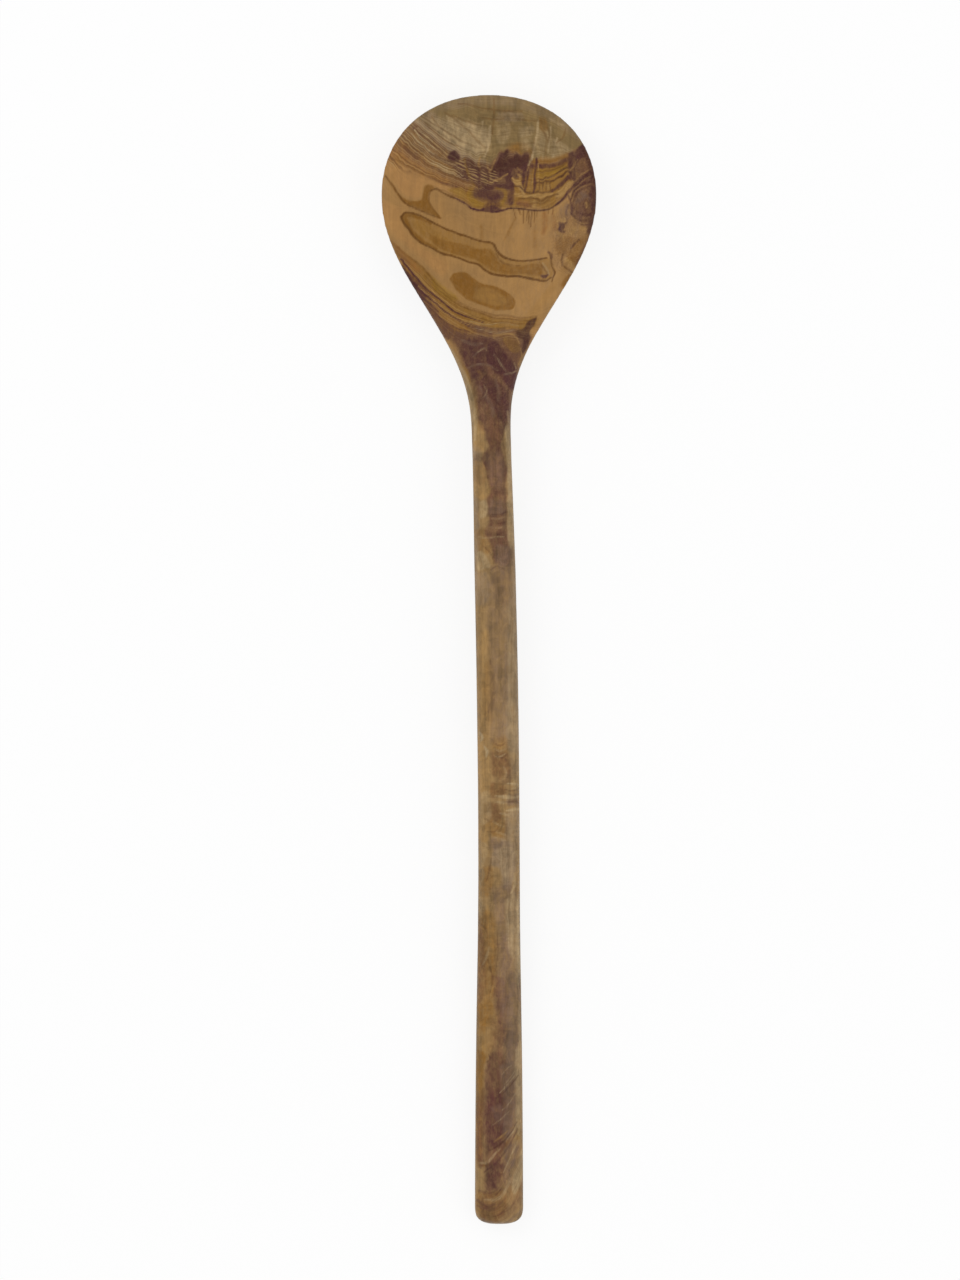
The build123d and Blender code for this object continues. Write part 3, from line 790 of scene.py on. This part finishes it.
# Where the grain is combed up and down: how far, in hundredths of a pixel, then as above
CURLY_AREAS = [
    (220, 80, [455,155, 490,150, 530,150, 540,160, 520,175, 500,190, 480,188, 455,175]),
    (80, 80, [498,158, 530,160, 572,158, 572,190, 548,203, 512,203, 500,180]),
]


# Lines and shapes on the plan
PERCENT = 100
TENTHS = 10
FAR = 1e9
TINY = 1e-9
LINE_PARTS = 5  # straight runs between two typed points
RING_PARTS = 2
FIELD_UNIT = 100.0  # pixels to one unit of the sums that work out the rings
FIELD_SLACK = 2e-4  # how freely the rings may leave their lines
FIELD_BATCH = 4000
HANDLE_FLATTEN = 0.25  # the rings of the handle run long, so its length counts this much
LATTICE_SIDE = 128
# Smooth noise on the plan: how much of it, the pixels to one of its units across and down, its seed
SWAY_X = ((0.9, 13, 12, 1), (0.3, 4, 5, 5))
SWAY_Y = ((0.9, 13, 12, 2), (0.3, 4, 4, 6))
COMB = ((1.0, 4.2, 30, 3), (0.4, 2.3, 20, 4))


def flow(points, parts=LINE_PARTS):
    """A smooth line through the points, by Catmull and Rom."""
    if len(points) < 3:
        return points
    padded = np.vstack([2 * points[0] - points[1], points, 2 * points[-1] - points[-2]])
    out = []
    for a, b, c, d in zip(padded, padded[1:], padded[2:], padded[3:]):
        square, cube = 2 * a - 5 * b + 4 * c - d, 3 * b - a - 3 * c + d
        for t in np.arange(parts) / parts:
            out.append(0.5 * (2 * b + (c - a) * t + square * t**2 + cube * t**3))
    out.append(points[-1])
    return np.array(out)


def soft_step(value, low, high):
    t = np.clip((value - low) / (high - low), 0, 1)
    return t * t * (3 - 2 * t)


def close_to(plan, line, reach):
    """The plan points in the box round a line, by number."""
    low = line[:, :2].min(axis=0) - reach
    high = line[:, :2].max(axis=0) + reach
    return np.flatnonzero(((plan > low) & (plan < high)).all(axis=1))


def from_run(spots, start, end):
    """How far along a straight run each spot lies, as a share, and its gap from the run."""
    run = end[:2] - start[:2]
    share = np.clip(((spots - start[:2]) @ run) / max(run @ run, TINY), 0, 1)
    return share, np.hypot(*(spots - start[:2] - share[:, None] * run).T)


def line_cover(plan, line, softness):
    """How much of each plan point a brush line covers, and which points it reaches."""
    near = close_to(plan, line, line[:, 2].max() + softness + 1)
    best = np.full(len(near), -FAR)
    for a, b in zip(line, line[1:]):
        share, gap = from_run(plan[near], a, b)
        best = np.maximum(best, a[2] + (b[2] - a[2]) * share - gap)
    return near, soft_step(best, -softness / 2, softness / 2)


def area_cover(plan, line, softness):
    """How much of each plan point a closed shape covers, and which points it reaches."""
    near = close_to(plan, line, softness + 1)
    spots = plan[near]
    gap = np.full(len(near), FAR)
    inside = np.zeros(len(near), bool)
    for a, b in zip(line, line[1:]):
        gap = np.minimum(gap, from_run(spots, a, b)[1])
        crosses = (a[1] > spots[:, 1]) != (b[1] > spots[:, 1])
        if a[1] != b[1]:
            inside ^= crosses & (spots[:, 0] < a[0] + (spots[:, 1] - a[1]) * (b[0] - a[0]) / (b[1] - a[1]))
    return near, soft_step(np.where(inside, gap, -gap), -softness / 2, softness / 2)


def draw(plan, values, rows, closed):
    """Raises values to each row's strength where its shape or line covers the plan."""
    for strength, softness, numbers in rows:
        if closed:
            points = np.reshape(numbers + numbers[:2], (-1, 2)).astype(float)
            near, cover = area_cover(plan, flow(points), softness / TENTHS)
        else:
            points = np.reshape(numbers, (-1, 3)) / (1, 1, TENTHS)
            near, cover = line_cover(plan, flow(points), softness / TENTHS)
        values[near] = np.maximum(values[near], strength / PERCENT * cover)


def ring_field(plan, rings, flatten):
    """A smooth field over the plan that has each ring's level along its line."""
    spots, levels = [], []
    for level, numbers in rings:
        line = flow(np.reshape(numbers, (-1, 2)).astype(float), RING_PARTS)
        spots.extend(line)
        levels.extend([level] * len(line))
    spots = np.array(spots) * flatten

    def kernel(a, b):
        gap = ((a[:, None, :] - b[None, :, :]) ** 2).sum(axis=2) / FIELD_UNIT**2 + TINY
        return gap * np.log(gap) / 2

    count = len(spots)
    system = np.zeros((count + 3, count + 3))
    system[:count, :count] = kernel(spots, spots) + np.eye(count) * FIELD_SLACK
    system[:count, count] = system[count, :count] = 1
    system[:count, count + 1 :] = spots / FIELD_UNIT
    system[count + 1 :, :count] = spots.T / FIELD_UNIT
    weights = np.linalg.solve(system, np.concatenate([levels, np.zeros(3)]))
    out = np.empty(len(plan))
    for start in range(0, len(plan), FIELD_BATCH):
        part = plan[start : start + FIELD_BATCH] * flatten
        slope = part @ weights[count + 1 :] / FIELD_UNIT
        out[start : start + FIELD_BATCH] = kernel(part, spots) @ weights[:count] + weights[count] + slope
    return out


def lattice_noise(x, y, seed):
    """Smooth noise from -1 to 1 over the plan, with one wave about every two units."""
    side = LATTICE_SIDE
    lattice = np.random.default_rng(seed).uniform(-1, 1, (side, side))
    column, row = np.floor(x).astype(int), np.floor(y).astype(int)
    across, down = x - column, y - row
    across, down = across * across * (3 - 2 * across), down * down * (3 - 2 * down)

    def at_row(number):
        first, second = lattice[number % side, column % side], lattice[number % side, (column + 1) % side]
        return first * (1 - across) + second * across

    return at_row(row) * (1 - down) + at_row(row + 1) * down


def with_noise(value, x, y, parts):
    """The value with smooth noise added to it, part by part."""
    for amount, across, down, seed in parts:
        value = value + amount * lattice_noise(x / across, y / down, seed)
    return value


def grown(plan):
    """Places in the tree's growth: the plan, swayed a little, and combed where the grain is curly."""
    x, y = plan.T
    curl = np.zeros(len(plan))
    draw(plan, curl, CURLY_AREAS, closed=True)
    combed = curl * with_noise(0, x, y, COMB)
    return np.column_stack([with_noise(x, x, y, SWAY_X), with_noise(y, x, y, SWAY_Y) + combed])


# The carved wood
VOXEL = 0.72e-3
SAND_IN = 0.5  # each round of sanding draws the points in by this share, and then out again
SAND_OUT = -0.52
FIRST_ROUNDS = 12
LAST_ROUNDS = 3
FINE_SLOPE = 0.6  # faces that look up at least this much are divided, for the figure on them
RAY_LIFT = 0.0003


def spoon_mesh(source):
    """An even skin over the CAD solid."""
    mesh = bpy.data.meshes.new_from_object(source)
    mesh.transform(source.matrix_world)
    piece = bpy.data.objects.new("carved_spoon", mesh)
    bpy.context.scene.collection.objects.link(piece)
    remesh = piece.modifiers.new("skin", "REMESH")
    remesh.mode = "VOXEL"
    remesh.voxel_size = VOXEL
    remesh.adaptivity = 0.0
    skin = bpy.data.meshes.new_from_object(piece.evaluated_get(bpy.context.evaluated_depsgraph_get()))
    piece.modifiers.clear()
    piece.data = skin
    return piece


def read_places(mesh):
    places = np.empty(len(mesh.vertices) * 3, np.float32)
    mesh.vertices.foreach_get("co", places)
    return places.reshape(-1, 3).astype(float)


def write_places(mesh, places):
    mesh.vertices.foreach_set("co", places.astype(np.float32).ravel())
    mesh.update()


def sand(mesh, rounds):
    """Each round draws the points to their neighbours, then back out by a little more."""
    places = read_places(mesh)
    count = len(places)
    edges = np.empty(len(mesh.edges) * 2, np.int32)
    mesh.edges.foreach_get("vertices", edges)
    edges = edges.reshape(-1, 2)
    neighbours = np.bincount(edges.ravel(), minlength=count).astype(float)[:, None]
    for share in (SAND_IN, SAND_OUT) * rounds:
        total = np.zeros_like(places)
        for axis in range(3):
            total[:, axis] = np.bincount(edges[:, 0], places[edges[:, 1], axis], count)
            total[:, axis] += np.bincount(edges[:, 1], places[edges[:, 0], axis], count)
        places += share * (total / neighbours - places)
    write_places(mesh, places)


def refine(mesh):
    """Divides the faces that look up, where the figure is finest."""
    made = bmesh.new()
    made.from_mesh(mesh)
    edges = [edge for edge in made.edges if any(face.normal.z > FINE_SLOPE for face in edge.link_faces)]
    bmesh.ops.subdivide_edges(made, edges=edges, cuts=1, use_grid_fill=True)
    made.to_mesh(mesh)
    made.free()


def wood_above(mesh, places):
    """Thickness of wood straight above each point."""
    tree = BVHTree.FromPolygons([tuple(p) for p in places], [tuple(p.vertices) for p in mesh.polygons])
    up = Vector((0, 0, 1))
    depth = np.zeros(len(places))
    for i, p in enumerate(places):
        hit = tree.ray_cast(Vector((p[0], p[1], p[2] + RAY_LIFT)), up)
        if hit[0] is not None:
            depth[i] = hit[3] + RAY_LIFT
    return depth


spoon = spoon_mesh(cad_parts["spoon"])
sand(spoon.data, FIRST_ROUNDS)
refine(spoon.data)
sand(spoon.data, LAST_ROUNDS)
places = np.clip(read_places(spoon.data), np.array(cad_low), np.array(cad_high))
write_places(spoon.data, places)
spoon.data.shade_smooth()

# The figure runs on down through the wood, leaning as the tree grew: by a steady share of the depth,
# and a swing that comes and goes over some pixels
LEAN_X, LEAN_X_SWING, LEAN_X_WAVE = 0.34, 0.2, 61
LEAN_Y, LEAN_Y_SWING, LEAN_Y_WAVE_X, LEAN_Y_WAVE_Y = 0.75, 0.3, 37, 83
depth = wood_above(spoon.data, places) / METRES_PER_PIXEL
plan_x = places[:, 0] / METRES_PER_PIXEL + AXIS_PIXEL
plan_y = MIDDLE_PIXEL - places[:, 1] / METRES_PER_PIXEL
plan_x += depth * (LEAN_X + LEAN_X_SWING * np.sin(plan_y / LEAN_X_WAVE))
plan_y += depth * (LEAN_Y + LEAN_Y_SWING * np.sin(plan_x / LEAN_Y_WAVE_X + plan_y / LEAN_Y_WAVE_Y))
plan = grown(np.column_stack([plan_x, plan_y]))

values = {name: np.zeros(len(plan)) for name in (*TONES, *TEXTURES)}
for tone, rows in AREAS.items():
    draw(plan, values[tone], rows, closed=True)
for tone, rows in LINES.items():
    draw(plan, values[tone], rows, closed=False)
on_handle = soft_step(plan[:, 1], *HANDLE_START)
bowl_ring = ring_field(plan, RINGS, np.array([1.0, 1.0]))
handle_ring = ring_field(plan, HANDLE_RINGS, np.array([1.0, HANDLE_FLATTEN]))
values["ring"] = bowl_ring * (1 - on_handle) + handle_ring * on_handle
values["handle"] = on_handle
for name, amounts in values.items():
    attribute = spoon.data.attributes.new("wood_" + name, "FLOAT", "POINT")
    attribute.data.foreach_set("value", amounts.astype(np.float32))

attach(spoon, "root")
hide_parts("spoon")

# The wood's finish. Colours are as they show under the plain light, written as on a screen.
SURFACE_GLOSS = 0.014
LIGHT_LEVEL = 0.97
LEAST_ALBEDO = 0.004
BOWL_WOOD = ("95734a", "a17a4a")
HANDLE_WOOD = "8f744f"
HANDLE_COVER = 0.85
BURL_TINT, BURL_DARK, BURL_PALE = "80603f", "4a3129", "947457"
BAR_PALE = "9c7e55"
RING_DARK, RING_PALE = "5f4028", "ab8f64"
ROUGH_FROM, ROUGH_TO = 0.36, 0.5
WOOD_IOR = 1.45
SPECULAR_LEVEL = 0.22
BUMP_STRENGTH = 0.35
BUMP_DEPTH = 0.06e-3
CELL_SMOOTHNESS = 0.15
wood = bpy.data.materials.new("olive_wood_oiled")
wood.use_nodes = True
tree = wood.node_tree
shader = tree.nodes["Principled BSDF"]
coordinates = node(tree, "ShaderNodeTexCoord").outputs["Object"]


def shown(code):
    """Albedo that shows as this sRGB colour, once the oiled surface adds its own reflection."""
    parts = [int(code[i : i + 2], 16) / 255 for i in (0, 2, 4)]
    linear = [c / 12.92 if c <= 0.04045 else ((c + 0.055) / 1.055) ** 2.4 for c in parts]
    return (*[max(LEAST_ALBEDO, (c - SURFACE_GLOSS) / LIGHT_LEVEL) for c in linear], 1)


def plug(value, socket):
    if isinstance(value, bpy.types.NodeSocket):
        tree.links.new(value, socket)
    else:
        socket.default_value = value


def maths(operation, *values, clamp=False):
    made = node(tree, "ShaderNodeMath", operation=operation, use_clamp=clamp)
    for value, socket in zip(values, made.inputs):
        plug(value, socket)
    return made.outputs[0]


def total(*values):
    out = values[0]
    for value in values[1:]:
        out = maths("ADD", out, value)
    return out


def times(*values):
    out = values[0]
    for value in values[1:]:
        out = maths("MULTIPLY", out, value)
    return out


def swing(value, amount):
    """A number round zero: the noise's swing about its middle, times an amount."""
    return times(maths("SUBTRACT", value, 0.5), amount)


def zigzag(value):
    """Rises and falls between 0 and a half, once for each whole number."""
    return maths("ABSOLUTE", maths("SUBTRACT", maths("FRACT", value), 0.5))


def layer(name):
    """What the mesh holds under this name, for each of its points."""
    made = node(tree, "ShaderNodeAttribute", attribute_name="wood_" + name, attribute_type="GEOMETRY")
    return made.outputs["Fac"]


def texture(kind, scale, shift, settings, **more):
    """A texture in the wood, with its scale along each axis in waves or cells per metre."""
    stretch = node(tree, "ShaderNodeMapping")
    stretch.inputs["Scale"].default_value = scale
    stretch.inputs["Location"].default_value = (shift, shift, shift)
    tree.links.new(coordinates, stretch.inputs["Vector"])
    made = node(tree, kind, **more)
    made.inputs["Scale"].default_value = 1.0
    for name, value in settings.items():
        made.inputs[name].default_value = value
    tree.links.new(stretch.outputs[0], made.inputs["Vector"])
    return made


def noise(scale, detail=3, roughness=0.55, shift=0.0, distortion=0.0):
    settings = {"Detail": detail, "Roughness": roughness, "Distortion": distortion}
    return texture("ShaderNodeTexNoise", scale, shift, settings, noise_dimensions="3D").outputs["Fac"]


def cells(scale):
    """Uneven patches of one tone each."""
    settings = {"Smoothness": CELL_SMOOTHNESS}
    made = texture("ShaderNodeTexVoronoi", scale, 0.0, settings, feature="SMOOTH_F1", distance="CHEBYCHEV")
    parts = node(tree, "ShaderNodeSeparateColor")
    tree.links.new(made.outputs["Color"], parts.inputs[0])
    return parts.outputs[0]


def line_noise(value, scale, detail, roughness):
    made = node(tree, "ShaderNodeTexNoise", noise_dimensions="1D")
    made.inputs["Scale"].default_value = scale
    made.inputs["Detail"].default_value = detail
    made.inputs["Roughness"].default_value = roughness
    plug(value, made.inputs["W"])
    return made.outputs["Fac"]


def mixed(share, first, second, kind="MIX"):
    made = node(tree, "ShaderNodeMix", data_type="RGBA", blend_type=kind)
    for value, socket in ((share, 0), (first, 6), (second, 7)):
        plug(value, made.inputs[socket])
    return made.outputs[2]


def spread(value, low, high, to_low=0.0, to_high=1.0):
    made = node(tree, "ShaderNodeMapRange", interpolation_type="SMOOTHSTEP")
    for number, item in enumerate((value, low, high, to_low, to_high)):
        plug(item, made.inputs[number])
    return made.outputs[0]


# Rings, fibre and mottle that run all through the wood
masks = {name: layer(name) for name in (*TONES, *TEXTURES)}
coarse = swing(noise((260, 180, 260), 2, 0.5), 1.2)
ring = total(layer("ring"), coarse, swing(noise((1000, 600, 1000), 2, 0.5), 0.3))
broad_rings = spread(line_noise(ring, 0.42, 2, 0.5), 0.3, 0.7)
fine_rings = spread(line_noise(ring, 2.1, 3, 0.6), 0.32, 0.68)
fibre = spread(noise((1900, 90, 1900), 3, 0.6), 0.3, 0.7)
streak = spread(noise((700, 28, 700), 2, 0.5, 7.0), 0.3, 0.7)
ripple = spread(noise((150, 560, 150), 2, 0.5, 5.0), 0.3, 0.7)
mottle = spread(noise((420, 330, 420), 4, 0.6, 11.0), 0.3, 0.7)
ragged = spread(noise((900, 520, 900), 2, 0.5, 41.0, 0.6), 0.35, 0.65)
broken = total(times(fine_rings, 0.25), times(mottle, 0.25), times(streak, 0.15), times(ragged, 0.35))


def patchy(name, amount):
    """A tone's cover from 0 to 1, broken up by the rings and the mottle."""
    cover = masks[name]
    edge = times(cover, maths("SUBTRACT", 1.3, cover), amount * 2)
    return maths("ADD", maths("ADD", cover, times(edge, maths("SUBTRACT", broken, 0.5))), 0.0, clamp=True)


# The plain wood of the bowl and the handle, and the tones laid over it one after another
cloud = noise((55, 30, 55), 3, 0.55, 3.0)
colour = mixed(spread(cloud, 0.35, 0.65), *map(shown, BOWL_WOOD))
colour = mixed(times(layer("handle"), HANDLE_COVER), colour, shown(HANDLE_WOOD))
for name, (code, patchiness) in TONES.items():
    colour = mixed(patchy(name, patchiness), colour, shown(code))

# Burls: soft patches, and dark and pale swirling lines
swirl = noise((230, 190, 230), 3, 0.55, 17.0, 2.2)
swirl_lines = spread(zigzag(times(swirl, 9.0)), 0.0, 0.5)
colour = mixed(times(masks["knot"], spread(swirl, 0.4, 0.62), 0.25), colour, shown(BURL_TINT))
colour = mixed(times(masks["knot"], maths("SUBTRACT", 1.0, swirl_lines), 0.4), colour, shown(BURL_DARK))
colour = mixed(times(masks["knot"], spread(swirl_lines, 0.8, 1.0), 0.3), colour, shown(BURL_PALE))

# The short pale bars in the dark band
BAR_PITCH = 0.85e-3
BAR_SLOPE = 0.35
BAR_SWAY = 0.5e-3
spot = node(tree, "ShaderNodeSeparateXYZ")
tree.links.new(coordinates, spot.inputs[0])
bar_rows = total(spot.outputs["Y"], times(spot.outputs["X"], BAR_SLOPE), swing(ripple, BAR_SWAY))
bars = spread(zigzag(maths("DIVIDE", bar_rows, BAR_PITCH)), 0.2, 0.4)
colour = mixed(times(bars, masks["bars"], 0.75), colour, shown(BAR_PALE))

# Fine rings, plainest where no dark wood, or sapwood with its painted sheen, covers them
ring_mix = total(times(fine_rings, 0.75), times(broad_rings, 0.25))
off_sap_and_sheen = maths("MULTIPLY_ADD", masks["sap_and_sheen"], -0.6, 1.0)
rings_shown = times(masks["rings"], maths("MULTIPLY_ADD", masks["dark"], -0.7, off_sap_and_sheen, clamp=True))
ring_dark = times(spread(ring_mix, 0.15, 0.5, 1.0, 0.0), rings_shown, 0.5)
ring_pale = times(spread(ring_mix, 0.55, 0.9), rings_shown, 0.4)
colour = mixed(ring_dark, colour, shown(RING_DARK))
colour = mixed(ring_pale, colour, shown(RING_PALE))

# Light and dark over all of it
patches = spread(noise((150, 55, 150), 2, 0.5, 23.0, 0.6), 0.42, 0.58)
flakes = spread(noise((430, 240, 430), 3, 0.6, 29.0, 1.0), 0.42, 0.6)
flames = spread(noise((170, 520, 170), 4, 0.65, 31.0, 1.3), 0.38, 0.62)
blocks = spread(cells((300, 330, 300)), 0.0, 1.0)
uneven = total(swing(patches, 0.2), swing(flakes, 0.17), swing(blocks, 0.15), swing(streak, 0.12))
level = total(
    1.0,
    swing(ring_mix, 0.08),
    swing(fibre, 0.08),
    times(swing(streak, 1.0), maths("MULTIPLY_ADD", masks["sap_and_sheen"], 0.18, 0.08)),
    swing(ripple, 0.03),
    swing(mottle, 0.05),
    times(uneven, maths("MULTIPLY_ADD", layer("handle"), 0.8, 0.2)),
    times(swing(flames, 0.34), masks["flame"]),
    times(swing(blocks, 0.12), masks["sap_and_sheen"]),
)
level_colour = node(tree, "ShaderNodeCombineColor")
for socket in level_colour.inputs[:3]:
    tree.links.new(level, socket)
colour = mixed(1.0, colour, level_colour.outputs[0], "MULTIPLY")
tree.links.new(colour, shader.inputs["Base Color"])

# A satin oiled surface, a little rough along the fibre
tree.links.new(spread(fibre, 0.0, 1.0, ROUGH_FROM, ROUGH_TO), shader.inputs["Roughness"])
shader.inputs["IOR"].default_value = WOOD_IOR
shader.inputs["Specular IOR Level"].default_value = SPECULAR_LEVEL
bump = node(tree, "ShaderNodeBump")
bump.inputs["Strength"].default_value = BUMP_STRENGTH
bump.inputs["Distance"].default_value = BUMP_DEPTH
tree.links.new(total(fibre, times(fine_rings, 0.5)), bump.inputs["Height"])
tree.links.new(bump.outputs[0], shader.inputs["Normal"])
spoon.data.materials.clear()
spoon.data.materials.append(wood)
